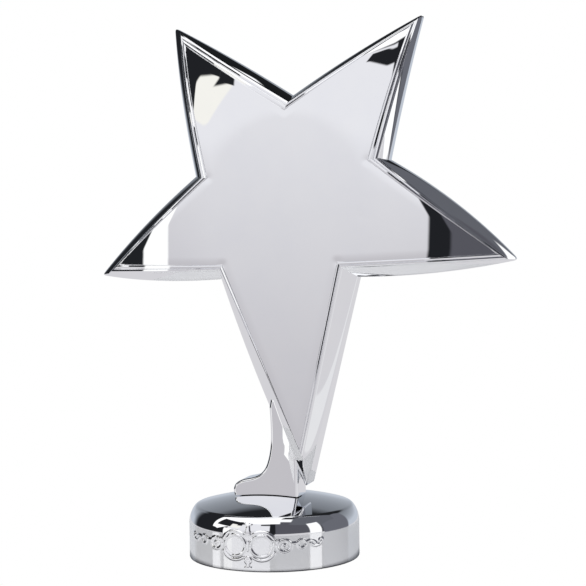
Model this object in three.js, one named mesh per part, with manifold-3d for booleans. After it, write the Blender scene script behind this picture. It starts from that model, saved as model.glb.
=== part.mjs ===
// Star trophy: a chrome-plated five-pointed star on a waisted stem, bolted to a domed round base.
// Millimetres, +Z up. The origin is on the base axis at table level, and the star faces -Y.
import * as THREE from 'three';
import { mergeVertices } from 'three/addons/utils/BufferGeometryUtils.js';
import Module from 'manifold-3d';

const { degToRad, lerp, smoothstep } = THREE.MathUtils;
const wasm = await Module();
wasm.setup();

// ---------------------------------------------------------------- driving dimensions
const GAP = 0.3; // clearance between neighbouring pieces
const SEGMENTS = 64; // facets round the base
const SMALL_SEGMENTS = 32; // facets round the fasteners

// The wall curves in above `wallTop`: gently up to `shoulderTilt`, then tightly up to `domeTilt`,
// where it runs smoothly into the dome. A tilt is the surface's angle back from upright, in degrees.
const base = {
  radius: 32,
  wallTop: 13.4,
  shoulderRound: 9.5,
  shoulderTilt: 38,
  rimRound: 2.4,
  domeTilt: 74.7,
  bottom: 0.3,
  bottomChamfer: 0.5,
  wall: 2.4,
  roofUnderside: 16.7,
};
const felt = { thickness: 1.8, chamfer: 0.3 };
const weight = { boreRadius: 3.2, counterboreRadius: 5.9, counterboreTop: 9.6, chamfer: 1 };
const screw = { radius: 2.5, length: 25, seat: 6.3, headRadius: 4.75, headHeight: 2.8 };
const socket = { radius: 1.7, depth: 1.8 };
const springWasher = { radius: 4.4, thickness: 1.3, splitWidth: 1.0 };
const flatWasher = { radius: 5.0, thickness: 1.0 };
const pin = { radius: 1.5, offset: 7.5, bottom: 18.4, top: 27.4, chamfer: 0.4 };

// The stem is a plate; its left side sweeps down into a toe, and its right side is straight.
// It is drawn down to `bottom`, inside the base, and then cut to sit on the dome.
const stem = { front: -6, back: 5.5, rightSide: 11.2, bottom: 18, top: 72 };

// The star leans back: its front plane is at frontY at the height frontAtZ,
// and falls back by `lean` for every millimetre above it.
const star = {
  centre: [6, 136],
  frontAtZ: 40,
  frontY: -10,
  lean: 0.09,
  thickness: 9.5,
  tipDropStart: 29, // beyond this distance from the centre the arms curve back
  tipDropLeft: 0.0052,
  tipDropRight: 0.0042,
  tipDropBlend: [-20, 30], // x from the left rate to the right one
  lowerReach: 0.3, // how much height counts towards that distance below the centre
  backFollow: 0.66, // the back's share of the curve, so that the arms thin towards their tips
  lowerArmTop: 100,
  bevelDepth: 4.2, // from the front to the widest outline, where the star is thickest
  bottomTipBevel: 2, // added to that at the bottom tip
  backRound: 1.2,
  edgeSteps: 6,
};

// Corners of the star as [x, z]: the edge of the face, the outside of the bead and the widest outline.
// `bow` is how far the widest outline swells between this corner and the next.
const corners = [
  { face: [-38.1, 193.2], bead: [-41.5, 198.4], rim: [-44.7, 200.5], bow: 0.9 }, // upper left tip
  { face: [5.1, 167.4], bead: [6.5, 170.7], rim: [7.0, 172.6], bow: 0.5 }, // top notch
  { face: [50.2, 197.5], bead: [53.3, 200.8], rim: [54.5, 202.5], bow: 0 }, // upper right tip
  { face: [37.3, 148.4], bead: [41.3, 149.1], rim: [44.5, 148.4], bow: 2.5 }, // right notch
  { face: [84.1, 113.9], bead: [87.6, 111.8], rim: [91.0, 111.4], bow: 1.4 }, // right tip
  { face: [26.4, 111.1], bead: [28.3, 108.9], rim: [33.6, 105.5], bow: 0 }, // lower right notch
  { face: [12.9, 41.9], bead: [14.0, 39.3], rim: [14.3, 27.2], bow: 1.4 }, // bottom tip
  { face: [-18.3, 109.8], bead: [-19.6, 107.6], rim: [-19.6, 104.3], bow: 1.2 }, // lower left notch
  { face: [-63.2, 109.4], bead: [-68.9, 105.7], rim: [-72.8, 104.9], bow: 0.8 }, // left tip
  { face: [-24.8, 142.4], bead: [-27.8, 142.5], rim: [-30.7, 142.9], bow: 0 }, // left notch
];

// Section through the raised border: [fraction of the way from the face to the bead's edge, depth].
const borderSection = [[0, 0.4], [0.2, -0.1], [0.4, 0.15], [0.5, 0.35], [0.6, 0], [0.8, -0.1], [1, 0.6]];

// Relief on the front of the base: rings at [distance round the base, height, radius],
// mirrored left and right.
const relief = { height: 9.8, tube: 0.6 };
const mirroredRings = [[5, 0, 3.9], [13.4, 0.6, 2.3], [19.6, 1.0, 1.4], [24.2, 1.6, 1.0]];
const centreRings = [[0, -5.2, 1.0], [0, 5.0, 1.1]];

// ---------------------------------------------------------------- solid helpers
function signedVolume(geometry) {
  const p = geometry.attributes.position;
  const index = geometry.index.array;
  const a = new THREE.Vector3();
  const b = new THREE.Vector3();
  const c = new THREE.Vector3();
  let volume = 0;
  for (let i = 0; i < index.length; i += 3) {
    a.fromBufferAttribute(p, index[i]);
    b.fromBufferAttribute(p, index[i + 1]);
    c.fromBufferAttribute(p, index[i + 2]);
    volume += a.dot(b.cross(c)) / 6;
  }
  return volume;
}

// Welds a geometry's vertices and turns its faces outwards.
function weld(geometry) {
  const bare = new THREE.BufferGeometry();
  bare.setAttribute('position', geometry.attributes.position.clone());
  if (geometry.index) bare.setIndex([...geometry.index.array]);
  const welded = mergeVertices(bare, 1e-4);
  const kept = [];
  const index = welded.index.array;
  for (let i = 0; i < index.length; i += 3) {
    const [u, v, w] = [index[i], index[i + 1], index[i + 2]];
    if (u !== v && v !== w && w !== u) kept.push(u, v, w);
  }
  welded.setIndex(kept);
  if (signedVolume(welded) < 0) welded.setIndex(kept.reverse());
  return welded;
}

function toSolid(geometry) {
  const welded = weld(geometry);
  return new wasm.Manifold(new wasm.Mesh({
    numProp: 3,
    vertProperties: new Float32Array(welded.attributes.position.array),
    triVerts: new Uint32Array(welded.index.array),
  }));
}

function toGeometry(solid) {
  const mesh = solid.getMesh();
  const geometry = new THREE.BufferGeometry();
  geometry.setAttribute('position', new THREE.BufferAttribute(new Float32Array(mesh.vertProperties), 3));
  geometry.setIndex([...mesh.triVerts]);
  return geometry;
}

// A solid of revolution about Z from [radius, height] pairs; the profile closes on itself or on the axis.
function turned(profile, segments = SEGMENTS) {
  const points = profile.map(([radius, height]) => new THREE.Vector2(radius, height));
  return new THREE.LatheGeometry(points, segments).rotateX(Math.PI / 2);
}

// An upright cylinder between two heights, x from the base axis.
function rod(radius, bottom, top, x = 0, segments = 24) {
  const geometry = new THREE.CylinderGeometry(radius, radius, top - bottom, segments);
  return geometry.rotateX(Math.PI / 2).translate(x, 0, (bottom + top) / 2);
}

// ---------------------------------------------------------------- base
// The two rounds of the shoulder, from the top of the wall to the edge of the dome.
function shoulderPoints() {
  const points = [];
  let centre = [base.radius - base.shoulderRound, base.wallTop];
  const along = (radius, tilt) => [
    centre[0] + radius * Math.cos(degToRad(tilt)),
    centre[1] + radius * Math.sin(degToRad(tilt)),
  ];
  const steps = 4;
  for (let i = 0; i < steps; i += 1) points.push(along(base.shoulderRound, (base.shoulderTilt * i) / steps));
  centre = along(base.shoulderRound - base.rimRound, base.shoulderTilt);
  for (let i = 0; i <= steps; i += 1) {
    const tilt = base.shoulderTilt + ((base.domeTilt - base.shoulderTilt) * i) / steps;
    points.push(along(base.rimRound, tilt));
  }
  return points;
}

// Points of the base's top from the wall up and in to the axis.
function baseTopProfile(raise = 0) {
  const points = shoulderPoints();
  const [domeRadius, domeEdge] = points.at(-1);
  const domeRise = (domeRadius * Math.tan(degToRad(90 - base.domeTilt))) / 2;
  const domeSteps = 7;
  for (let i = 1; i <= domeSteps; i += 1) {
    const share = 1 - i / domeSteps;
    points.push([domeRadius * share, domeEdge + domeRise * (1 - share ** 2)]);
  }
  return points.map(([radius, height]) => [radius, height + raise]);
}

// Bends a flat piece (x round the base, y up, z outwards) onto the front of the base.
function wrapOnBase(geometry) {
  const p = geometry.attributes.position;
  for (let i = 0; i < p.count; i += 1) {
    const angle = p.getX(i) / base.radius;
    const radius = base.radius + p.getZ(i);
    p.setXYZ(i, radius * Math.sin(angle), -radius * Math.cos(angle), p.getY(i));
  }
  return geometry;
}

function reliefRing([along, up, radius]) {
  const ring = new THREE.TorusGeometry(radius, relief.tube, 6, radius > 2 ? 18 : 12);
  return toSolid(wrapOnBase(ring.translate(along, relief.height + up, 0)));
}

function baseShell() {
  const inner = base.radius - base.wall;
  const profile = [
    [0, base.roofUnderside],
    [inner, base.roofUnderside],
    [inner, base.bottom],
    [base.radius - base.bottomChamfer, base.bottom],
    [base.radius, base.bottom + base.bottomChamfer],
    ...baseTopProfile(),
  ];
  let shell = toSolid(turned(profile));
  for (const [along, up, radius] of mirroredRings) {
    shell = shell.add(reliefRing([along, up, radius])).add(reliefRing([-along, up, radius]));
  }
  for (const ring of centreRings) shell = shell.add(reliefRing(ring));
  for (const [radius, x] of [[screw.radius, 0], [pin.radius, -pin.offset], [pin.radius, pin.offset]]) {
    shell = shell.subtract(toSolid(rod(radius + GAP, 0, screw.seat + screw.length, x)));
  }
  return toGeometry(shell);
}

function baseWeight() {
  const outer = base.radius - base.wall - GAP;
  const bottom = felt.thickness + GAP;
  const top = base.roofUnderside - GAP;
  const { chamfer } = weight;
  return turned([
    [weight.counterboreRadius, bottom],
    [outer - chamfer, bottom],
    [outer, bottom + chamfer],
    [outer, top - chamfer],
    [outer - chamfer, top],
    [weight.boreRadius, top],
    [weight.boreRadius, weight.counterboreTop],
    [weight.counterboreRadius, weight.counterboreTop],
    [weight.counterboreRadius, bottom],
  ]);
}

function feltPad() {
  const radius = base.radius - base.wall - GAP;
  const { thickness, chamfer } = felt;
  return turned([[0, 0], [radius - chamfer, 0], [radius, chamfer], [radius, thickness], [0, thickness]]);
}

// ---------------------------------------------------------------- fasteners
function clampScrew() {
  const { radius, length, seat, headRadius, headHeight } = screw;
  const headFace = seat - headHeight;
  const tip = seat + length;
  const tipChamfer = 0.8;
  const body = toSolid(turned([
    [0, headFace],
    [headRadius * 0.55, headFace],
    [headRadius * 0.9, seat - headHeight * 0.55],
    [headRadius, seat - headHeight * 0.1],
    [headRadius, seat],
    [radius, seat],
    [radius, tip - tipChamfer],
    [radius - tipChamfer, tip],
    [0, tip],
  ], SMALL_SEGMENTS));
  const hexagon = rod(socket.radius, headFace - socket.depth, headFace + socket.depth, 0, 6);
  return toGeometry(body.subtract(toSolid(hexagon)));
}

function washer(innerRadius, outerRadius, bottom, thickness) {
  return turned([
    [innerRadius, bottom],
    [outerRadius, bottom],
    [outerRadius, bottom + thickness],
    [innerRadius, bottom + thickness],
    [innerRadius, bottom],
  ], SMALL_SEGMENTS);
}

// The spring washer is a ring with one cut through it.
function splitWasher() {
  const bottom = screw.seat + GAP;
  const { radius, thickness, splitWidth } = springWasher;
  const ring = toSolid(washer(screw.radius + GAP, radius, bottom, thickness));
  const cut = new THREE.BoxGeometry(radius * 2, splitWidth, thickness * 4);
  cut.rotateX(0.5).translate(radius, 0, bottom + thickness / 2);
  return toGeometry(ring.subtract(toSolid(cut)));
}

function plainWasher() {
  const bottom = screw.seat + GAP + springWasher.thickness + GAP;
  return washer(screw.radius + GAP, flatWasher.radius, bottom, flatWasher.thickness);
}

function locatingPin(side) {
  const { radius, bottom, top, chamfer } = pin;
  const geometry = turned([
    [0, bottom],
    [radius - chamfer, bottom],
    [radius, bottom + chamfer],
    [radius, top - chamfer],
    [radius - chamfer, top],
    [0, top],
  ], 20);
  return geometry.translate(side * pin.offset, 0, 0);
}

// ---------------------------------------------------------------- star and stem, one casting
function mix(a, b, t) {
  return [a[0] + (b[0] - a[0]) * t, a[1] + (b[1] - a[1]) * t];
}

// The star's outline as [x, z] points: t = 0 on the face's edge, 1 on the bead's, 2 on the widest outline.
function starOutline(t) {
  const at = (corner) => (t <= 1 ? mix(corner.face, corner.bead, t) : mix(corner.bead, corner.rim, t - 1));
  const swell = Math.max(0, t - 1);
  const points = [];
  corners.forEach((corner, i) => {
    const start = at(corner);
    const end = at(corners[(i + 1) % corners.length]);
    const length = Math.hypot(end[0] - start[0], end[1] - start[1]);
    const outward = [-(end[1] - start[1]) / length, (end[0] - start[0]) / length];
    for (let step = 0; step < star.edgeSteps; step += 1) {
      const u = step / star.edgeSteps;
      const bow = corner.bow * swell * 4 * u * (1 - u);
      const [x, z] = mix(start, end, u);
      points.push([x + outward[0] * bow, z + outward[1] * bow]);
    }
  });
  return points;
}

function frontPlane(z) {
  return star.frontY + star.lean * (z - star.frontAtZ);
}

// How far the arms have curved back at a point; the lower arm stays nearly flat.
function tipDrop([x, z]) {
  const [centreX, centreZ] = star.centre;
  const height = (z - centreZ) * (z < centreZ ? star.lowerReach : 1);
  const reach = Math.max(0, Math.hypot(x - centreX, height) - star.tipDropStart);
  const across = smoothstep(x, ...star.tipDropBlend);
  return lerp(star.tipDropLeft, star.tipDropRight, across) * reach ** 2;
}

// The back follows the front, and runs flush with the stem's back on the lower arm.
function backPlane([x, z]) {
  return Math.max(stem.back, frontPlane(z) + star.thickness) + star.backFollow * tipDrop([x, z]);
}

function towardsCentre(points, scale) {
  return points.map((point) => mix(star.centre, point, scale));
}

// Stacks closed rings of equal length, with a point at each end, into one closed mesh.
function stackRings(first, rings, last) {
  const count = rings[0].length;
  const positions = [first, ...rings.flat(), last].flat();
  const lastIndex = 1 + rings.length * count;
  const index = [];
  for (let i = 0; i < count; i += 1) {
    const j = (i + 1) % count;
    index.push(0, 1 + i, 1 + j);
    for (let k = 0; k + 1 < rings.length; k += 1) {
      const near = 1 + k * count;
      const far = near + count;
      const [a, b, c, d] = [near + i, near + j, far + j, far + i];
      index.push(a, d, c, a, c, b);
    }
    index.push(lastIndex, 1 + (rings.length - 1) * count + j, 1 + (rings.length - 1) * count + i);
  }
  const geometry = new THREE.BufferGeometry();
  geometry.setAttribute('position', new THREE.BufferAttribute(new Float32Array(positions), 3));
  geometry.setIndex(index);
  return geometry;
}

function starBody() {
  const front = (points, depth) => points.map(([x, z]) => [x, frontPlane(z) + tipDrop([x, z]) + depth, z]);
  const back = (points, inset) => points.map(([x, z]) => [x, backPlane([x, z]) - inset, z]);
  const face = starOutline(0);
  const rim = starOutline(2);
  const faceDepth = borderSection[0][1];
  const edgeDepth = borderSection.at(-1)[1];
  const bottomTip = Math.min(...rim.map(([, z]) => z));
  // Depth of the widest outline: less towards the thin upper tips, more towards the bottom one.
  const rimDepth = ([x, z]) => {
    const thinning = 1 - ((1 - star.backFollow) * tipDrop([x, z])) / star.thickness;
    const alongLowerArm = Math.max(0, (star.lowerArmTop - z) / (star.lowerArmTop - bottomTip));
    return star.bevelDepth * thinning + star.bottomTipBevel * alongLowerArm;
  };
  // A ring of the flare at `u` of its width, having fallen `share` of its depth.
  const flare = (u, share) => starOutline(1 + u).map(([x, z], i) => {
    const depth = lerp(edgeDepth, rimDepth(rim[i]), share);
    return [x, frontPlane(z) + tipDrop([x, z]) + depth, z];
  });
  const rings = [
    ...[0.25, 0.4, 0.55, 0.7, 0.8, 0.9].map((scale) => front(towardsCentre(face, scale), faceDepth)),
    ...borderSection.map(([t, depth]) => front(starOutline(t), depth)),
    flare(0.5, 0.4),
    flare(0.85, 0.74),
    flare(1, 1),
    back(rim, star.backRound),
    back(starOutline(1.6), 0),
    ...[0.85, 0.7, 0.5, 0.3].map((scale) => back(towardsCentre(rim, scale), 0)),
  ];
  const [centreX, centreZ] = star.centre;
  const facePoint = [centreX, frontPlane(centreZ) + faceDepth, centreZ];
  const backPoint = [centreX, backPlane(star.centre), centreZ];
  return stackRings(facePoint, rings, backPoint);
}

function stemPlate() {
  const outline = new THREE.Shape();
  outline.moveTo(stem.rightSide, stem.bottom);
  outline.lineTo(stem.rightSide, 50);
  outline.lineTo(9, stem.top);
  outline.lineTo(3, stem.top);
  outline.lineTo(0.2, 57);
  outline.bezierCurveTo(0.9, 46, 0.9, 41, -1.1, 35.3); // waist
  outline.bezierCurveTo(-2.6, 31.4, -5.5, 30.4, -8.6, 29.8); // sweep over the top of the toe
  outline.bezierCurveTo(-12.6, 29.1, -14.3, 27.6, -14.3, 25.2); // round nose of the toe
  outline.bezierCurveTo(-14.3, 24.0, -13.8, 23.2, -13.2, 22.5);
  outline.lineTo(-13.2, stem.bottom);
  const depth = stem.back - stem.front;
  const plate = new THREE.ExtrudeGeometry(outline, { depth, bevelEnabled: false, curveSegments: 6 });
  return plate.rotateX(Math.PI / 2).translate(0, stem.back, 0);
}

function starCasting() {
  const seat = baseTopProfile(GAP);
  const domeBelow = toSolid(turned([[0, 0], [base.radius, 0], ...seat]));
  let casting = toSolid(starBody()).add(toSolid(stemPlate())).subtract(domeBelow);
  const tappedDepth = screw.seat + screw.length + GAP;
  casting = casting.subtract(toSolid(rod(screw.radius + GAP, 0, tappedDepth)));
  for (const side of [-1, 1]) {
    casting = casting.subtract(toSolid(rod(pin.radius + GAP, 0, pin.top + GAP, side * pin.offset)));
  }
  return toGeometry(casting);
}

// ---------------------------------------------------------------- materials and assembly
const chrome = () => new THREE.MeshStandardMaterial({ color: 0xdfe1e6, metalness: 1, roughness: 0.05 });
const steel = () => new THREE.MeshStandardMaterial({ color: 0x8d9096, metalness: 1, roughness: 0.4 });
const zincPlate = () => new THREE.MeshStandardMaterial({ color: 0xb5b9bd, metalness: 1, roughness: 0.3 });
const blackFelt = () => new THREE.MeshStandardMaterial({ color: 0x17171a, metalness: 0, roughness: 0.95 });

const trophy = new THREE.Group();

function place(name, geometry, material) {
  const mesh = new THREE.Mesh(geometry, material);
  mesh.name = name;
  trophy.add(mesh);
}

place('star_casting', starCasting(), chrome());
place('base_shell', baseShell(), chrome());
place('base_weight', baseWeight(), steel());
place('clamp_screw', clampScrew(), zincPlate());
place('spring_washer', splitWasher(), zincPlate());
place('flat_washer', plainWasher(), zincPlate());
place('locating_pin_left', locatingPin(-1), steel());
place('locating_pin_right', locatingPin(1), steel());
place('felt_pad', feltPad(), blackFelt());

export default trophy;
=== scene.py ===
"""Looks for the star trophy: a chrome star on a waisted stem, bolted to a domed round base.

Shapes are worked out in millimetres in the part's own frame (+Z up, the star faces -Y) and
become metres when a mesh is made.
"""

import math

import bmesh
import bpy
import numpy as np
from mathutils import Matrix, Vector


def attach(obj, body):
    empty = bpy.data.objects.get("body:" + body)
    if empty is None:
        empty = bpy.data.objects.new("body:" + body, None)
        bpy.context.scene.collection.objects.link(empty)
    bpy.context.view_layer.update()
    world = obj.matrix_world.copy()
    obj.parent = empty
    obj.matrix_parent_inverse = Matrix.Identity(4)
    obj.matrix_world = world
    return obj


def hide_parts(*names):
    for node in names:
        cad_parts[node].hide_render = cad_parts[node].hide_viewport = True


MM = 0.001
BODY = "root"

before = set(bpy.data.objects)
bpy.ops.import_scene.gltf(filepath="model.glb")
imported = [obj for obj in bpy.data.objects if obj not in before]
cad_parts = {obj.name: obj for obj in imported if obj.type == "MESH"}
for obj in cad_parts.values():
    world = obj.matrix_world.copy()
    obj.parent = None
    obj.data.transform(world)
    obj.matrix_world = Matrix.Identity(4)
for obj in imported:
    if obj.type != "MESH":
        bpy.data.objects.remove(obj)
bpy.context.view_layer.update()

# ---------------------------------------------------------------- driving dimensions, in mm
GAP = 0.3
BASE_RADIUS = 32.0
WALL_TOP = 13.4  # above this the wall curves in, gently and then tightly, into the dome
SHOULDER_ROUND = 9.5
SHOULDER_TILT = 38.0
RIM_ROUND = 2.4
DOME_TILT = 74.7
SHELL_BOTTOM = 0.3
SHELL_CHAMFER = 0.5
SHELL_WALL = 2.4
ROOF_UNDERSIDE = 16.7
FELT_RADIUS = BASE_RADIUS - SHELL_WALL - GAP
FELT_THICKNESS = 1.8
SCREW_RADIUS = 2.5
SCREW_TOP = 31.3
PIN_RADIUS = 1.5
PIN_OFFSET = 7.5
PIN_TOP = 27.4

STEM_FRONT = -6.0
STEM_BACK = 5.5
STEM_RIGHT = 11.2
STEM_BOTTOM = 18.0
STEM_TOP = 72.0
STEM_EDGE = 1.3

STAR_CENTRE = (6.0, 136.0)
FRONT_AT_Z = 40.0
FRONT_Y = -10.0
LEAN = 0.09
THICKNESS = 9.5
TIP_DROP_START = 29.0
TIP_DROP_LEFT = 0.0052
TIP_DROP_RIGHT = 0.0042
TIP_DROP_BLEND = (-20.0, 30.0)
LOWER_REACH = 0.3  # how much height counts towards the drop below the centre
BACK_FOLLOW = 0.66
LOWER_ARM_TOP = 100.0
FACE_ROLL = 0.06
FACE_ROLL_WIDTH = 3.0
TIP_ROUND = 2.6
BEVEL_DEPTH = 4.2  # from the front to the widest outline where the star is thickest
FLARE_SLOPE = 0.72  # share of the flare that is flat; the rest curls over into the side
BOTTOM_TIP_BEVEL = 2.0
BACK_ROUND = 1.4
FACE_DEPTH = 0.4
EDGE_STEPS = 44
BACK_INSET = 0.42  # how far the back's rounded edge comes in, as a share of the flare
SMOOTH_ANGLE = 35.0
STAR_SMOOTH_ANGLE = 55.0

# Corners as (edge of the face, outside of the bead, widest outline, bow of the next side).
CORNERS = [
    ((-38.1, 193.2), (-41.5, 198.4), (-44.7, 200.5), 0.9),
    ((5.1, 167.4), (6.5, 170.7), (7.0, 172.6), 0.5),
    ((50.2, 197.5), (53.3, 200.8), (54.5, 202.5), 0.0),
    ((37.3, 148.4), (41.3, 149.1), (44.5, 148.4), 2.5),
    ((84.1, 113.9), (87.6, 111.8), (91.0, 111.4), 1.4),
    ((26.4, 111.1), (28.3, 108.9), (33.6, 105.5), 0.0),
    ((12.9, 41.9), (14.0, 39.3), (14.3, 27.2), 1.4),
    ((-18.3, 109.8), (-19.6, 107.6), (-19.6, 104.3), 1.2),
    ((-63.2, 109.4), (-68.9, 105.7), (-72.8, 104.9), 0.8),
    ((-24.8, 142.4), (-27.8, 142.5), (-30.7, 142.9), 0.0),
]

# Section of the border from the face outwards: (fraction of its width, depth, corner radius).
BORDER = [
    (0.00, 0.40, 0.00),
    (0.04, 0.55, 0.03),
    (0.09, 0.28, 0.05),
    (0.24, 0.24, 0.40),
    (0.46, 0.37, 0.12),
    (0.52, 0.68, 0.03),
    (0.58, 0.34, 0.05),
    (0.76, 0.36, 0.40),
    (0.94, 0.62, 0.10),
    (1.00, 1.00, 0.08),
]
BORDER_WIDTH = 3.3


# ---------------------------------------------------------------- mesh helpers
def make_object(name, verts, faces, smooth_angle=SMOOTH_ANGLE):
    """A mesh object from points in mm, with its faces turned outwards."""
    mesh = bpy.data.meshes.new(name)
    mesh.from_pydata([(x * MM, y * MM, z * MM) for x, y, z in verts], [], faces)
    bm = bmesh.new()
    bm.from_mesh(mesh)
    bmesh.ops.recalc_face_normals(bm, faces=bm.faces)
    bm.to_mesh(mesh)
    bm.free()
    shade(mesh, smooth_angle)
    obj = bpy.data.objects.new(name, mesh)
    bpy.context.scene.collection.objects.link(obj)
    return obj


def shade(mesh, smooth_angle):
    mesh.shade_smooth()
    mesh.set_sharp_from_angle(angle=math.radians(smooth_angle))


def stack_rings(rings, first=None, last=None):
    """Joins closed rings of equal length into one skin; first and last are the end points."""
    count = len(rings[0])
    verts = [point for ring in rings for point in ring]
    faces = []
    for k in range(len(rings) - 1):
        for i in range(count):
            j = (i + 1) % count
            near, far = k * count, (k + 1) * count
            faces.append((near + i, near + j, far + j, far + i))
    for point, offset in ((first, 0), (last, (len(rings) - 1) * count)):
        if point is None:
            continue
        verts.append(point)
        tip = len(verts) - 1
        faces += [(tip, offset + i, offset + (i + 1) % count) for i in range(count)]
    return verts, faces


def turned(name, profile, segments=192):
    """A solid of revolution about Z from (radius, height) points that start and end on the axis
    or close on themselves."""
    closed = profile[0] == profile[-1]
    points = profile[:-1] if closed else profile
    first = last = None
    if not closed:
        first = (0.0, 0.0, points[0][1])
        last = (0.0, 0.0, points[-1][1])
        points = points[1:-1]
    angles = [2 * math.pi * i / segments for i in range(segments)]
    rings = [[(r * math.cos(a), r * math.sin(a), z) for a in angles] for r, z in points]
    if closed:
        rings.append(rings[0])
        verts, faces = stack_rings(rings[:-1])
        count = segments
        last_ring = (len(rings) - 2) * count
        for i in range(count):
            j = (i + 1) % count
            faces.append((last_ring + i, last_ring + j, j, i))
    else:
        verts, faces = stack_rings(rings, first, last)
    return make_object(name, verts, faces)


def rounded(points, steps=5):
    """Rounds the corners of a polyline of (x, y, radius)."""
    out = [(points[0][0], points[0][1])]
    for before, corner, after in zip(points, points[1:], points[2:]):
        p = Vector(corner[:2])
        to_a = Vector(before[:2]) - p
        to_b = Vector(after[:2]) - p
        radius = corner[2]
        if radius <= 0:
            out.append(tuple(p))
            continue
        half = to_a.angle(to_b) / 2
        reach = min(radius / math.tan(half), 0.45 * to_a.length, 0.45 * to_b.length)
        a = p + to_a.normalized() * reach
        b = p + to_b.normalized() * reach
        out.append(tuple(a + to_a.normalized() * reach * 0.12))
        for i in range(steps + 1):
            u = i / steps
            out.append(tuple(a * (1 - u) ** 2 + p * 2 * u * (1 - u) + b * u ** 2))
        out.append(tuple(b + to_b.normalized() * reach * 0.12))
    out.append((points[-1][0], points[-1][1]))
    return out


def bezier(p0, p1, p2, p3, steps=18):
    points = []
    for i in range(1, steps + 1):
        u = i / steps
        v = 1 - u
        weights = (v ** 3, 3 * v * v * u, 3 * v * u * u, u ** 3)
        points.append(tuple(sum(w * p[k] for w, p in zip(weights, (p0, p1, p2, p3)))
                            for k in range(2)))
    return points


def boolean(target, tool, operation):
    """Joins or cuts with a closed mesh, which is then removed."""
    bpy.context.view_layer.objects.active = target
    modifier = target.modifiers.new(operation.lower(), "BOOLEAN")
    modifier.operation = operation
    modifier.object = tool
    modifier.solver = "MANIFOLD"
    depsgraph = bpy.context.evaluated_depsgraph_get()
    result = bpy.data.meshes.new_from_object(target.evaluated_get(depsgraph))
    target.modifiers.clear()
    old = target.data
    result.name = old.name
    target.data = result
    bpy.data.meshes.remove(old)
    bpy.data.objects.remove(tool)


def rod(name, radius, bottom, top, x=0.0, segments=48):
    piece = turned(name, [(0, bottom), (radius, bottom), (radius, top), (0, top)], segments)
    piece.data.transform(Matrix.Translation((x * MM, 0, 0)))
    return piece


# ---------------------------------------------------------------- base
def base_top(raise_by=0.0, round_steps=24, dome_steps=34):
    """(radius, height) points from the top of the wall up and in to the axis."""
    centre = Vector((BASE_RADIUS - SHOULDER_ROUND, WALL_TOP + raise_by))
    points = []
    for start, end, radius, next_radius in ((0.0, SHOULDER_TILT, SHOULDER_ROUND, RIM_ROUND),
                                            (SHOULDER_TILT, DOME_TILT, RIM_ROUND, 0.0)):
        for i in range(round_steps):
            tilt = math.radians(start + (end - start) * i / round_steps)
            points.append(tuple(centre + Vector((math.cos(tilt), math.sin(tilt))) * radius))
        tilt = math.radians(end)
        centre += Vector((math.cos(tilt), math.sin(tilt))) * (radius - next_radius)
    dome_radius, edge = centre
    dome_rise = dome_radius * math.tan(math.radians(90 - DOME_TILT)) / 2
    for i in range(dome_steps + 1):
        share = 1 - i / dome_steps
        points.append((dome_radius * share, edge + dome_rise * (1 - share ** 2)))
    return points


def arc(centre, radius, start, end, squash=1.0, step=0.12):
    """Points on an arc, angles in degrees; squash scales its height."""
    count = max(8, int(abs(math.radians(end - start)) * radius / step))
    points = []
    for i in range(count + 1):
        angle = math.radians(start + (end - start) * i / count)
        points.append((centre[0] + radius * math.cos(angle),
                       centre[1] + radius * squash * math.sin(angle)))
    return points


RELIEF_HEIGHT = 9.8
RELIEF_RISE = 0.30
RELIEF_HALF_WIDTH = 0.55
RELIEF_FOOT = 0.95
RELIEF_REACH = 31.0  # the relief lies within this distance either side of the front
RELIEF_REACH_UP = 9.0
FINE_STEP = 0.17
COARSE_SEGMENTS = 112


def relief_strokes():
    """Centre lines of the scrollwork as (distance round the base, height) points."""
    right = [
        arc((5.1, 0), 4.1, 0, 360, 0.94),
        arc((5.1, 0), 5.3, 28, 128, 0.98),
        arc((5.1, 0), 5.3, -128, -28, 0.98),
        arc((13.4, 0.1), 2.6, 0, 360, 0.82),
        arc((13.4, 0.1), 0.5, 0, 360, 0.82),
        arc((10.4, 5.2), 3.6, 200, 285, 0.9),
        arc((16.7, 4.0), 3.4, 215, 300, 0.9),
        arc((19.8, 0.6), 1.5, 20, 340),
        arc((23.2, -1.6), 2.9, 35, 125, 1.1),
        arc((25.5, 1.9), 2.6, 215, 345, 0.9),
        arc((27.6, 1.2), 0.7, 0, 300),
        arc((1.3, 6.0), 1.6, 100, 250, 1.2),
        arc((1.2, -6.2), 1.5, 110, 260, 1.1),
    ]
    strokes = []
    for stroke in right:
        strokes.append(stroke)
        strokes.append([(-s, z) for s, z in stroke])
    strokes.append(arc((0, 5.1), 0.55, 0, 360))
    strokes.append(arc((0, -5.2), 1.0, 0, 360))
    strokes.append([(0, -1.6 + 0.1 * i) for i in range(33)])
    return np.array([point for stroke in strokes for point in stroke])


def relief_rise(along, height):
    """How far the wall stands out at each (distance round the base, height)."""
    strokes = relief_strokes()
    rise = np.zeros(len(along))
    near = (np.abs(along) < RELIEF_REACH) & (np.abs(height - RELIEF_HEIGHT) < RELIEF_REACH_UP)
    points = np.column_stack([along[near], height[near] - RELIEF_HEIGHT])
    distance = np.empty(len(points))
    chunk = 4000
    for start in range(0, len(points), chunk):
        part = points[start:start + chunk]
        gaps = np.linalg.norm(part[:, None, :] - strokes[None, :, :], axis=2)
        distance[start:start + chunk] = gaps.min(axis=1)
    ridge = np.clip(1 - (distance / RELIEF_HALF_WIDTH) ** 2, 0, 1)
    foot = np.clip(1 - distance / RELIEF_FOOT, 0, 1) ** 2
    rise[near] = RELIEF_RISE * (0.82 * ridge ** 0.8 + 0.18 * foot)
    return rise


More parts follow.
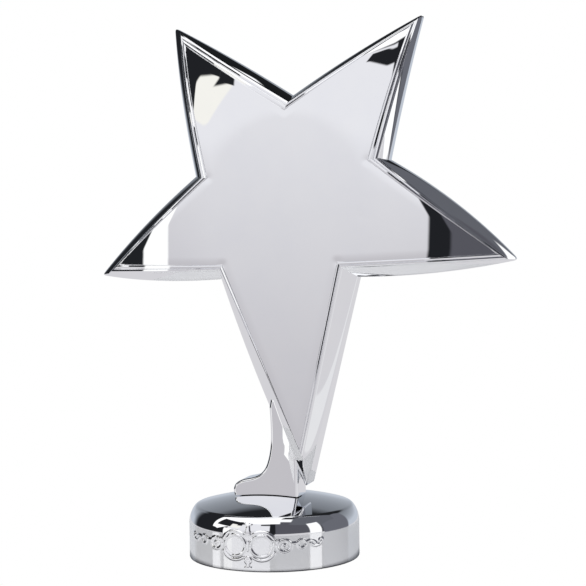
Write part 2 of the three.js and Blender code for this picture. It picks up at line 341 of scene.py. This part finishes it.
def base_shell():
    """The shell, finely divided across the front so that the relief is part of its surface."""
    front = np.arange(-RELIEF_REACH, RELIEF_REACH + FINE_STEP / 2, FINE_STEP) / BASE_RADIUS
    rest = np.linspace(front[-1], 2 * math.pi + front[0], COARSE_SEGMENTS)[1:-1]
    angles = np.concatenate([front, rest])
    along = np.where(angles > math.pi, angles - 2 * math.pi, angles) * BASE_RADIUS
    inner = BASE_RADIUS - SHELL_WALL
    wall_start = SHELL_BOTTOM + SHELL_CHAMFER
    wall = [(BASE_RADIUS, z) for z in np.arange(wall_start + 0.6, WALL_TOP - 0.05, FINE_STEP)]
    chamfer = rounded([(BASE_RADIUS - 2, SHELL_BOTTOM, 0), (BASE_RADIUS, SHELL_BOTTOM, 0.55),
                       (BASE_RADIUS, SHELL_BOTTOM + 2, 0)], 6)[1:-1]
    top = base_top(round_steps=36)
    outer = chamfer + wall + top[:-1]
    profile = [(inner, ROOF_UNDERSIDE), (inner, ROOF_UNDERSIDE - 0.1), (inner, SHELL_BOTTOM + 0.1),
               (inner, SHELL_BOTTOM), (inner + 0.1, SHELL_BOTTOM)] + outer
    rings = []
    for radius, z in profile:
        reach = np.full(len(angles), radius)
        if radius > BASE_RADIUS - 3 and z > 2:
            reach = reach + relief_rise(along, np.full(len(angles), z))
        rings.append([(r * math.sin(a), -r * math.cos(a), z) for r, a in zip(reach, angles)])
    verts, faces = stack_rings(rings, (0, 0, ROOF_UNDERSIDE), (0, 0, top[-1][1]))
    shell = make_object("chrome_base_shell", verts, faces)
    boolean(shell, rod("screw_hole", SCREW_RADIUS + GAP, 10, 40), "DIFFERENCE")
    for side in (-1, 1):
        hole = rod("pin_hole", PIN_RADIUS + GAP, 10, 40, side * PIN_OFFSET)
        boolean(shell, hole, "DIFFERENCE")
    shade(shell.data, SMOOTH_ANGLE)
    return shell


# ---------------------------------------------------------------- star and stem
def mix(a, b, t):
    return (a[0] + (b[0] - a[0]) * t, a[1] + (b[1] - a[1]) * t)


def side_steps():
    """Fractions along one side, closer together at its ends."""
    return [0.5 - 0.5 * math.cos(math.pi * i / EDGE_STEPS) for i in range(EDGE_STEPS)]


def star_outline(t):
    """The outline as (x, z): t is 0 on the face's edge, 1 on the bead's, 2 on the widest."""
    at = [mix(c[0], c[1], t) if t <= 1 else mix(c[1], c[2], t - 1) for c in CORNERS]
    swell = max(0.0, t - 1)
    points = []
    for i, start in enumerate(at):
        end = at[(i + 1) % len(at)]
        length = math.dist(start, end)
        outward = (-(end[1] - start[1]) / length, (end[0] - start[0]) / length)
        for u in side_steps():
            bow = CORNERS[i][3] * swell * 4 * u * (1 - u)
            x, z = mix(start, end, u)
            points.append((x + outward[0] * bow, z + outward[1] * bow))
    if swell > 0:
        for i in range(0, len(at), 2):
            round_tip(points, i * EDGE_STEPS, TIP_ROUND * swell)
    return points


def round_tip(points, tip, reach):
    """Rounds the outline at a tip, out to `reach` along each side."""
    count = len(points)
    corner = points[tip]
    span = max(k for k in range(1, EDGE_STEPS) if math.dist(points[(tip + k) % count], corner) < reach)
    ends = points[(tip - span) % count], points[(tip + span) % count]
    for k in range(-span + 1, span):
        u = (k + span) / (2 * span)
        points[(tip + k) % count] = tuple(
            ends[0][axis] * (1 - u) ** 2 + corner[axis] * 2 * u * (1 - u) + ends[1][axis] * u ** 2
            for axis in range(2))


def front_plane(z):
    return FRONT_Y + LEAN * (z - FRONT_AT_Z)


def tip_drop(x, z):
    """How far the star has curved back at a point."""
    height = (z - STAR_CENTRE[1]) * (LOWER_REACH if z < STAR_CENTRE[1] else 1)
    reach = max(0.0, math.hypot(x - STAR_CENTRE[0], height) - TIP_DROP_START)
    low, high = TIP_DROP_BLEND
    u = min(max((x - low) / (high - low), 0), 1)
    rate = TIP_DROP_LEFT + (TIP_DROP_RIGHT - TIP_DROP_LEFT) * u * u * (3 - 2 * u)
    return rate * reach ** 2


def back_plane(x, z):
    return max(STEM_BACK, front_plane(z) + THICKNESS) + BACK_FOLLOW * tip_drop(x, z)


def face_roll(points):
    """How far the face rolls back near its edge, so that it meets the border softly."""
    outline = np.array([corner[0] for corner in CORNERS])
    ends = np.roll(outline, -1, axis=0)
    points = np.array(points)
    roll = np.zeros(len(points))
    for start, end in zip(outline, ends):
        side = end - start
        along = np.clip((points - start) @ side / (side @ side), 0, 1)
        distance = np.linalg.norm(points - start - along[:, None] * side, axis=1)
        roll += FACE_ROLL / (2 * FACE_ROLL_WIDTH) * np.maximum(0, FACE_ROLL_WIDTH - distance) ** 2
    return roll


def front_ring(points, depth):
    return [(x, front_plane(z) + tip_drop(x, z) + depth, z) for x, z in points]


def back_ring(points, inset):
    return [(x, back_plane(x, z) - inset, z) for x, z in points]


def towards_centre(points, scale):
    return [mix(STAR_CENTRE, point, scale) for point in points]


def wall_depth(x, z, bottom_tip):
    """Depth of the widest outline below the front; the tips are thinner."""
    along = max(0.0, (LOWER_ARM_TOP - z) / (LOWER_ARM_TOP - bottom_tip))
    thinning = 1 - (1 - BACK_FOLLOW) * tip_drop(x, z) / THICKNESS
    return BEVEL_DEPTH * thinning + BOTTOM_TIP_BEVEL * along


def star_body():
    face = star_outline(0)
    rim = star_outline(2)
    bottom_tip = min(z for _, z in rim)
    rings = []
    face_steps = 52
    for i in range(1, face_steps):
        scale = 1 - (1 - i / face_steps) ** 1.5
        points = towards_centre(face, scale)
        rings.append([(x, y + roll, z) for (x, y, z), roll
                      in zip(front_ring(points, FACE_DEPTH), face_roll(points))])
    edge_roll = FACE_ROLL * FACE_ROLL_WIDTH / 2
    section = rounded([(t * BORDER_WIDTH, depth + edge_roll, radius) for t, depth, radius in BORDER])
    rings += [front_ring(star_outline(s / BORDER_WIDTH), depth) for s, depth in section]
    edge_depth = BORDER[-1][1] + edge_roll
    for u in (0.06, 0.2, 0.35, 0.5, 0.65, 0.78, 0.88, 0.94, 0.98, 1.0):
        share = FLARE_SLOPE * u + (1 - FLARE_SLOPE) * (1 - math.sqrt(1 - u * u))
        ring = []
        for (x, z), (rx, rz) in zip(star_outline(1 + u), rim):
            depth = edge_depth + (wall_depth(rx, rz, bottom_tip) - edge_depth) * share
            ring.append((x, front_plane(z) + tip_drop(x, z) + depth, z))
        rings.append(ring)
    widest = rings[-1]
    behind = back_ring(rim, BACK_ROUND)
    for u in (0.03, 0.25, 0.5, 0.75, 0.97):
        rings.append([tuple(p + (q - p) * u for p, q in zip(a, b)) for a, b in zip(widest, behind)])
    rings.append(behind)
    round_steps = 8
    for i in range(1, round_steps + 1):
        angle = math.pi / 2 * i / round_steps
        scale = 1 - math.cos(angle)
        inset = star_outline(2 - BACK_INSET * scale)
        rings.append(back_ring(inset, BACK_ROUND * (1 - math.sin(angle))))
    inner = star_outline(2 - BACK_INSET)
    for scale in (0.99, 0.9, 0.75, 0.6, 0.45, 0.3, 0.15):
        rings.append(back_ring(towards_centre(inner, scale), 0))
    x, z = STAR_CENTRE
    first = (x, front_plane(z) + FACE_DEPTH, z)
    verts, faces = stack_rings(rings, first, (x, back_plane(x, z), z))
    return make_object("chrome_star", verts, faces)


def stem_outline():
    """The stem's edge as (x, z), from the right side over the top and down the left."""
    points = [(STEM_RIGHT, STEM_BOTTOM + (50 - STEM_BOTTOM) * i / 20) for i in range(21)]
    points += [mix((STEM_RIGHT, 50), (9, STEM_TOP), i / 8) for i in range(1, 9)]
    points += [(6, STEM_TOP), (3, STEM_TOP)]
    points += [mix((3, STEM_TOP), (0.2, 57), i / 8) for i in range(1, 9)]
    points += bezier((0.2, 57), (0.9, 46), (0.9, 41), (-1.1, 35.3), 24)
    points += bezier((-1.1, 35.3), (-2.6, 31.4), (-5.5, 30.4), (-8.6, 29.8), 18)
    points += bezier((-8.6, 29.8), (-12.6, 29.1), (-14.3, 27.6), (-14.3, 25.2), 18)
    points += bezier((-14.3, 25.2), (-14.3, 24.0), (-13.8, 23.2), (-13.2, 22.5), 8)
    points += [mix((-13.2, 22.5), (-13.2, STEM_BOTTOM), i / 6) for i in range(1, 7)]
    points += [mix((-13.2, STEM_BOTTOM), (STEM_RIGHT, STEM_BOTTOM), i / 20) for i in range(1, 20)]
    return points


def inset_outline(points, inset):
    """Moves a closed outline inwards along its own normals."""
    count = len(points)
    out = []
    for i in range(count):
        a = Vector(points[i - 1])
        b = Vector(points[(i + 1) % count])
        tangent = (b - a).normalized()
        inward = Vector((-tangent.y, tangent.x))
        out.append(tuple(Vector(points[i]) + inward * inset))
    return out


def stem_plate():
    outline = stem_outline()
    steps = 8
    rings = []
    for i in range(steps + 1):
        angle = math.pi / 2 * i / steps
        ring = inset_outline(outline, STEM_EDGE * (1 - math.sin(angle)))
        y = STEM_FRONT + STEM_EDGE * (1 - math.cos(angle))
        rings.append([(x, y, z) for x, z in ring])
    for y in (-4.6, -2.5, 0.0, 2.5, 4.1):
        rings.append([(x, y, z) for x, z in outline])
    for i in range(steps + 1):
        angle = math.pi / 2 * i / steps
        ring = inset_outline(outline, STEM_EDGE * (1 - math.cos(angle)))
        y = STEM_BACK - STEM_EDGE * (1 - math.sin(angle))
        rings.append([(x, y, z) for x, z in ring])
    verts, faces = stack_rings(rings)
    count = len(outline)
    faces.append(tuple(range(count)))
    faces.append(tuple(range((len(rings) - 1) * count, len(rings) * count)))
    return make_object("stem", verts, faces)


def star_casting():
    casting = star_body()
    boolean(casting, stem_plate(), "UNION")
    seat = [(0, 0), (BASE_RADIUS, 0)] + base_top(GAP)
    boolean(casting, turned("seat", seat, 192), "DIFFERENCE")
    boolean(casting, rod("tapping", SCREW_RADIUS + GAP, 0, SCREW_TOP + GAP), "DIFFERENCE")
    for side in (-1, 1):
        hole = rod("pin_hole", PIN_RADIUS + GAP, 0, PIN_TOP + GAP, side * PIN_OFFSET)
        boolean(casting, hole, "DIFFERENCE")
    shade(casting.data, STAR_SMOOTH_ANGLE)
    return casting


# ---------------------------------------------------------------- felt
def felt_pad():
    """A punched felt disc with a soft edge."""
    edge = rounded([(0, 0, 0), (FELT_RADIUS, 0, 0.45), (FELT_RADIUS, FELT_THICKNESS, 0.25),
                    (0, FELT_THICKNESS, 0)], 5)
    under = [(FELT_RADIUS * i / 40, 0.0) for i in range(1, 39)]
    profile = [edge[0]] + under + edge[1:]
    return turned("felt_disc", profile, 160)


# ---------------------------------------------------------------- materials
class Nodes:
    """Short names for building one node tree."""

    def __init__(self, tree):
        self.tree = tree
        tree.nodes.clear()

    def add(self, kind, **settings):
        node = self.tree.nodes.new(kind)
        for key, value in settings.items():
            setattr(node, key, value)
        return node

    def link(self, source, target):
        self.tree.links.new(source, target)

    def math(self, operation, a, b=None, c=None):
        node = self.add("ShaderNodeMath", operation=operation)
        for index, value in enumerate((a, b, c)):
            if value is None:
                continue
            if isinstance(value, (int, float)):
                node.inputs[index].default_value = value
            else:
                self.link(value, node.inputs[index])
        return node.outputs[0]

    def ramp(self, value, low, high, out_low=0.0, out_high=1.0, kind="SMOOTHSTEP"):
        node = self.add("ShaderNodeMapRange", interpolation_type=kind)
        self.link(value, node.inputs["Value"])
        for key, number in (("From Min", low), ("From Max", high),
                            ("To Min", out_low), ("To Max", out_high)):
            node.inputs[key].default_value = number
        return node.outputs["Result"]

    def blend(self, factor, a, b):
        node = self.add("ShaderNodeMix", data_type="RGBA")
        self.link(factor, node.inputs["Factor"])
        for socket, value in ((node.inputs[6], a), (node.inputs[7], b)):
            if isinstance(value, tuple):
                socket.default_value = (*value, 1)
            else:
                self.link(value, socket)
        return node.outputs[2]

    def noise(self, coordinates, scale, detail=3.0, roughness=0.5):
        node = self.add("ShaderNodeTexNoise")
        node.inputs["Scale"].default_value = scale
        node.inputs["Detail"].default_value = detail
        node.inputs["Roughness"].default_value = roughness
        self.link(coordinates, node.inputs["Vector"])
        return node.outputs["Fac"]


def new_material(name, metallic, colour=None, roughness=None):
    material = bpy.data.materials.new(name)
    material.use_nodes = True
    nodes = Nodes(material.node_tree)
    output = nodes.add("ShaderNodeOutputMaterial")
    shader = nodes.add("ShaderNodeBsdfPrincipled")
    shader.inputs["Metallic"].default_value = metallic
    if colour:
        shader.inputs["Base Color"].default_value = (*colour, 1)
    if roughness is not None:
        shader.inputs["Roughness"].default_value = roughness
    nodes.link(shader.outputs[0], output.inputs["Surface"])
    coordinates = nodes.add("ShaderNodeTexCoord").outputs["Object"]
    return material, nodes, shader, coordinates


def bump(nodes, shader, height, strength, distance):
    node = nodes.add("ShaderNodeBump")
    node.inputs["Strength"].default_value = strength
    node.inputs["Distance"].default_value = distance
    nodes.link(height, node.inputs["Height"])
    nodes.link(node.outputs[0], shader.inputs["Normal"])


def chrome():
    """Polished chrome plate: a faint haze where it has been handled, and the slight waviness
    that hand polishing leaves."""
    material, nodes, shader, coordinates = new_material("chrome_plate", 1.0)
    haze = nodes.noise(coordinates, 38.0, 4.0, 0.6)
    smears = nodes.noise(coordinates, 140.0, 5.0, 0.65)
    tint = nodes.ramp(haze, 0.35, 0.7)
    nodes.link(nodes.blend(tint, (0.905, 0.91, 0.925), (0.885, 0.892, 0.915)),
               shader.inputs["Base Color"])
    rough = nodes.math("MULTIPLY", nodes.ramp(haze, 0.45, 0.75, 0.2, 1.0),
                       nodes.ramp(smears, 0.4, 0.7, 0.3, 1.0))
    nodes.link(nodes.ramp(rough, 0.0, 1.0, 0.012, 0.05), shader.inputs["Roughness"])
    wave = nodes.noise(coordinates, 60.0, 1.0, 0.4)
    bump(nodes, shader, wave, 0.05, 0.0002)
    return material


def machined(name, colour, scale):
    """Turned or plated steel with fine tool marks round the axis."""
    material, nodes, shader, coordinates = new_material(name, 1.0)
    parts = nodes.add("ShaderNodeSeparateXYZ")
    nodes.link(coordinates, parts.inputs[0])
    radius = nodes.math("SQRT", nodes.math("ADD", nodes.math("MULTIPLY", parts.outputs[0], parts.outputs[0]),
                                           nodes.math("MULTIPLY", parts.outputs[1], parts.outputs[1])))
    marks = nodes.math("SINE", nodes.math("MULTIPLY", nodes.math("ADD", radius, parts.outputs[2]), scale))
    grain = nodes.noise(coordinates, 900.0, 4.0)
    blotch = nodes.noise(coordinates, 120.0, 3.0)
    dark = tuple(c * 0.72 for c in colour)
    nodes.link(nodes.blend(nodes.ramp(blotch, 0.3, 0.7), colour, dark), shader.inputs["Base Color"])
    nodes.link(nodes.ramp(grain, 0.3, 0.7, 0.24, 0.46), shader.inputs["Roughness"])
    bump(nodes, shader, nodes.math("ADD", marks, grain), 0.25, 0.00004)
    return material


def felt():
    material, nodes, shader, coordinates = new_material("felt", 0.0)
    fibres = nodes.noise(coordinates, 2600.0, 5.0, 0.7)
    clumps = nodes.noise(coordinates, 320.0, 3.0)
    shade_of = nodes.math("ADD", nodes.math("MULTIPLY", fibres, 0.7), nodes.math("MULTIPLY", clumps, 0.3))
    nodes.link(nodes.blend(nodes.ramp(shade_of, 0.35, 0.68), (0.006, 0.006, 0.007), (0.034, 0.034, 0.038)),
               shader.inputs["Base Color"])
    nodes.link(nodes.ramp(fibres, 0.2, 0.8, 0.86, 1.0), shader.inputs["Roughness"])
    shader.inputs["Sheen Weight"].default_value = 0.5
    bump(nodes, shader, shade_of, 0.7, 0.0003)
    return material


def dress(obj, material):
    obj.data.materials.clear()
    obj.data.materials.append(material)


# ---------------------------------------------------------------- studio
CAMERA_AZIMUTH = 17.0
CAMERA_ELEVATION = 3.82
CAMERA_DISTANCE = 700.0
CAMERA_ROLL = -0.646
CAMERA_TARGET = (8.0, 99.16)  # sideways and up
FOCAL_LENGTH = 114.94
SENSOR_WIDTH = 36.0


# A panel is (space, from, to, bottom, top, edge softness, colour, colour at its top or None).
# In "round" space the numbers are azimuth and elevation in degrees: azimuth 0 is straight in front
# of the star (-Y) and grows towards +X. In "over" space they are degrees to the side of the
# camera's line and degrees up and over from it. Later panels cover earlier ones.
ROOM = (0.016, 0.017, 0.02)
KEY = (0.588, 0.575, 0.60)
KEY_TOP = (0.88, 0.88, 0.91)
PANELS = [
    ("round", -181, 181, -91, -6, 1.0, (0.72, 0.71, 0.73), None),    # pale table
    ("round", 19, 66, -1.5, 62, 0.8, (0.10, 0.10, 0.118), None),     # dim side of the room
    ("round", 86, 136, -8, 40, 2.0, (0.15, 0.155, 0.18), None),      # dim right-hand wall
    ("round", 18, 66, -30, -1, 0.8, (0.72, 0.71, 0.73), None),       # table on the right
    ("over", 18, 62, 40, 106, 2.0, (0.13, 0.135, 0.155), None),      # dim ceiling on the right
    ("over", -80, 7, 44, 97, 1.0, (1.2, 1.2, 1.2), None),            # overhead soft panel
    ("over", 6, 19, 53, 66, 1.0, (1.1, 1.1, 1.1), None),             # its narrow right-hand part
    ("round", 66, 84, -5, 34, 1.0, (1.15, 1.15, 1.15), None),        # strip light on the right
    ("round", 64, 88, -30, -5, 1.0, (0.85, 0.85, 0.86), None),       # its glow on the table
    ("round", -50, 11, -30, 42, 0.7, KEY, KEY_TOP),                  # large soft panel, front left
    ("round", -55, -42, -30, 14, 0.7, (1.15, 1.15, 1.13), None),     # its bright left edge
    ("round", -49, -32, 19, 33.5, 0.6, (1.0, 0.985, 0.92), None),    # warm reflector above it
    ("round", -70, -47, 21, 43, 0.5, ROOM, None),                    # dark wall beside the reflector
    ("round", -56, -38, 32.5, 43, 0.5, ROOM, None),                  # gap over the reflector
    ("round", -38.5, -31, 29.0, 44, 0.5, ROOM, None),                # and its lower right part
    ("round", -3, 14, 35.3, 40.5, 0.4, ROOM, None),                  # lamp head
]
KEY_FADE = (-1, 16.5)  # elevations between which KEY turns into KEY_TOP
BACKDROP_TINT = (0.90, 0.97, 1.08)
BEHIND = (108, 126)  # degrees round from the front where the room gives way to the backdrop
# (elevation in degrees, level) behind the star.
BACKDROP = [(-90, 0.70), (2, 0.62), (9, 0.45), (18, 0.33), (29, 0.22), (35, 0.02), (90, 0.01)]


def studio():
    """A soft studio round the object, given as a world: it lights the object and is mirrored in
    the chrome, and the camera itself sees the pale background."""
    world = bpy.data.worlds.new("studio")
    world.use_nodes = True
    bpy.context.scene.world = world
    nodes = Nodes(world.node_tree)
    direction = nodes.add("ShaderNodeTexCoord").outputs["Generated"]
    parts = nodes.add("ShaderNodeSeparateXYZ")
    nodes.link(direction, parts.inputs[0])
    forward = nodes.math("MULTIPLY", parts.outputs[1], -1.0)
    azimuth = nodes.math("DEGREES", nodes.math("ARCTAN2", parts.outputs[0], forward))
    elevation = nodes.math("DEGREES", nodes.math("ARCSINE", parts.outputs[2]))
    around = nodes.math("ABSOLUTE", azimuth)
    line = math.radians(CAMERA_AZIMUTH)
    lateral = nodes.math("ADD", nodes.math("MULTIPLY", parts.outputs[0], math.cos(line)),
                         nodes.math("MULTIPLY", parts.outputs[1], math.sin(line)))
    towards = nodes.math("SUBTRACT", nodes.math("MULTIPLY", parts.outputs[0], math.sin(line)),
                         nodes.math("MULTIPLY", parts.outputs[1], math.cos(line)))
    spaces = {
        "round": (azimuth, elevation),
        "over": (nodes.math("DEGREES", nodes.math("ARCSINE", lateral)),
                 nodes.math("DEGREES", nodes.math("ARCTAN2", parts.outputs[2], towards))),
    }

    ramp = nodes.add("ShaderNodeValToRGB")
    stops = ramp.color_ramp.elements
    stops[0].position, stops[1].position = 0.0, 1.0
    for position, _ in BACKDROP[1:-1]:
        stops.new((position + 90) / 180)
    for stop, (_, level) in zip(stops, BACKDROP):
        stop.color = (*(level * tint for tint in BACKDROP_TINT), 1)
    nodes.link(nodes.ramp(elevation, -90, 90, kind="LINEAR"), ramp.inputs[0])
    behind = nodes.ramp(around, *BEHIND)
    colour = nodes.blend(behind, ROOM, ramp.outputs[0])
    for space, low, high, bottom, top, soft, tone, top_tone in PANELS:
        across, up = spaces[space]
        sides = nodes.math("MULTIPLY", nodes.ramp(across, low - soft, low + soft),
                           nodes.ramp(across, high - soft, high + soft, 1.0, 0.0))
        ends = nodes.math("MULTIPLY", nodes.ramp(up, bottom - soft, bottom + soft),
                          nodes.ramp(up, top - soft, top + soft, 1.0, 0.0))
        if top_tone:
            tone = nodes.blend(nodes.ramp(up, *KEY_FADE), tone, top_tone)
        colour = nodes.blend(nodes.math("MULTIPLY", sides, ends), colour, tone)
    seen = nodes.add("ShaderNodeLightPath").outputs["Is Camera Ray"]
    colour = nodes.blend(seen, colour, (1.0, 1.0, 1.0))
    background = nodes.add("ShaderNodeBackground")
    nodes.link(colour, background.inputs["Color"])
    output = nodes.add("ShaderNodeOutputWorld")
    nodes.link(background.outputs[0], output.inputs["Surface"])


FLOOR_RADIUS = 120.0
FLOOR_GLOW = 0.22
FLOOR_DROP = 0.02
PAINTED_CONTACT_SHADOW = (32.5, 40.0)  # radii between which the floor brightens away from the base, out of a painted contact shadow
FILL_SIZE = 900
FILL_ENERGY = 3.0
FILL_PLACE = (-200, -250, 900)


def floor():
    """The camera sees it as plain white; reflections see a pale disc with a painted contact shadow, dark
    near the base.
    """
    count = 96
    ring = [(FLOOR_RADIUS * math.cos(2 * math.pi * i / count),
             FLOOR_RADIUS * math.sin(2 * math.pi * i / count), -FLOOR_DROP) for i in range(count)]
    mesh = bpy.data.meshes.new("floor")
    mesh.from_pydata([(x * MM, y * MM, z * MM) for x, y, z in ring], [], [tuple(range(count))])
    obj = bpy.data.objects.new("floor", mesh)
    bpy.context.scene.collection.objects.link(obj)
    material, nodes, shader, coordinates = new_material("pale_floor", 0.0, roughness=0.12)
    grain = nodes.noise(coordinates, 30.0)
    distance = nodes.add("ShaderNodeVectorMath", operation="LENGTH")
    nodes.link(coordinates, distance.inputs[0])
    low, high = PAINTED_CONTACT_SHADOW
    # painted contact shadow: clear is 0 beside the base, where the floor's colour is dark and its glow is
    # off, and 1 past it
    clear = nodes.ramp(distance.outputs["Value"], low * MM, high * MM)
    pale = nodes.blend(grain, (0.70, 0.70, 0.71), (0.74, 0.74, 0.75))
    # the dark colour here is the painted contact shadow that the chrome mirrors
    nodes.link(nodes.blend(clear, (0.10, 0.10, 0.11), pale), shader.inputs["Base Color"])
    nodes.link(nodes.blend(clear, (0.0, 0.0, 0.0), (1.0, 1.0, 1.0)), shader.inputs["Emission Color"])
    shader.inputs["Emission Strength"].default_value = FLOOR_GLOW
    glow = nodes.add("ShaderNodeEmission")
    glow.inputs["Strength"].default_value = 1.0
    seen = nodes.add("ShaderNodeLightPath").outputs["Is Camera Ray"]
    mixed = nodes.add("ShaderNodeMixShader")
    nodes.link(seen, mixed.inputs[0])
    nodes.link(shader.outputs[0], mixed.inputs[1])
    nodes.link(glow.outputs[0], mixed.inputs[2])
    output = next(n for n in nodes.tree.nodes if n.type == "OUTPUT_MATERIAL")
    nodes.link(mixed.outputs[0], output.inputs["Surface"])
    dress(obj, material)


def fill_light():
    """A large soft light overhead, kept out of the reflections."""
    data = bpy.data.lights.new("overhead_fill", "AREA")
    data.shape = "DISK"
    data.size = FILL_SIZE * MM
    data.energy = FILL_ENERGY
    obj = bpy.data.objects.new("overhead_fill", data)
    obj.location = tuple(value * MM for value in FILL_PLACE)
    obj.rotation_euler = Vector(obj.location).to_track_quat("Z", "Y").to_euler()
    obj.visible_camera = False
    obj.visible_glossy = False
    bpy.context.scene.collection.objects.link(obj)


# ---------------------------------------------------------------- camera
def camera():
    azimuth = math.radians(CAMERA_AZIMUTH)
    elevation = math.radians(CAMERA_ELEVATION)
    roll = math.radians(CAMERA_ROLL)
    back = Vector((math.sin(azimuth) * math.cos(elevation), -math.cos(azimuth) * math.cos(elevation),
                   math.sin(elevation)))
    right = Vector((math.cos(azimuth), math.sin(azimuth), 0))
    up = back.cross(right)
    right, up = (right * math.cos(roll) + up * math.sin(roll),
                 up * math.cos(roll) - right * math.sin(roll))
    sideways, height = CAMERA_TARGET
    target = Vector((sideways * math.cos(azimuth), sideways * math.sin(azimuth), height))
    data = bpy.data.cameras.new("camera")
    data.lens = FOCAL_LENGTH
    data.sensor_width = SENSOR_WIDTH
    obj = bpy.data.objects.new("camera", data)
    rotation = Matrix((right, up, back)).transposed().to_4x4()
    obj.matrix_world = Matrix.Translation((target + back * CAMERA_DISTANCE) * MM) @ rotation
    bpy.context.scene.collection.objects.link(obj)
    bpy.context.scene.camera = obj


# ---------------------------------------------------------------- assembly
camera()
studio()
floor()
fill_light()
bpy.context.scene.view_settings.view_transform = "Standard"

chrome_plate = chrome()
felt_cloth = felt()
pieces = [
    (star_casting(), "star_casting", "chrome_plate", chrome_plate),
    (base_shell(), "base_shell", "chrome_plate", chrome_plate),
    (felt_pad(), "felt_pad", "felt", felt_cloth),
]
for piece, node, slot, material in pieces:
    dress(piece, material)
    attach(piece, BODY)
    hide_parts(node)

bright_steel = machined("turned_steel", (0.42, 0.43, 0.45), 9000.0)
zinc = machined("zinc_plate", (0.62, 0.64, 0.66), 14000.0)
for node, material in (("base_weight", bright_steel), ("locating_pin_left", bright_steel),
                       ("locating_pin_right", bright_steel), ("clamp_screw", zinc),
                       ("spring_washer", zinc), ("flat_washer", zinc)):
    dress(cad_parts[node], material)
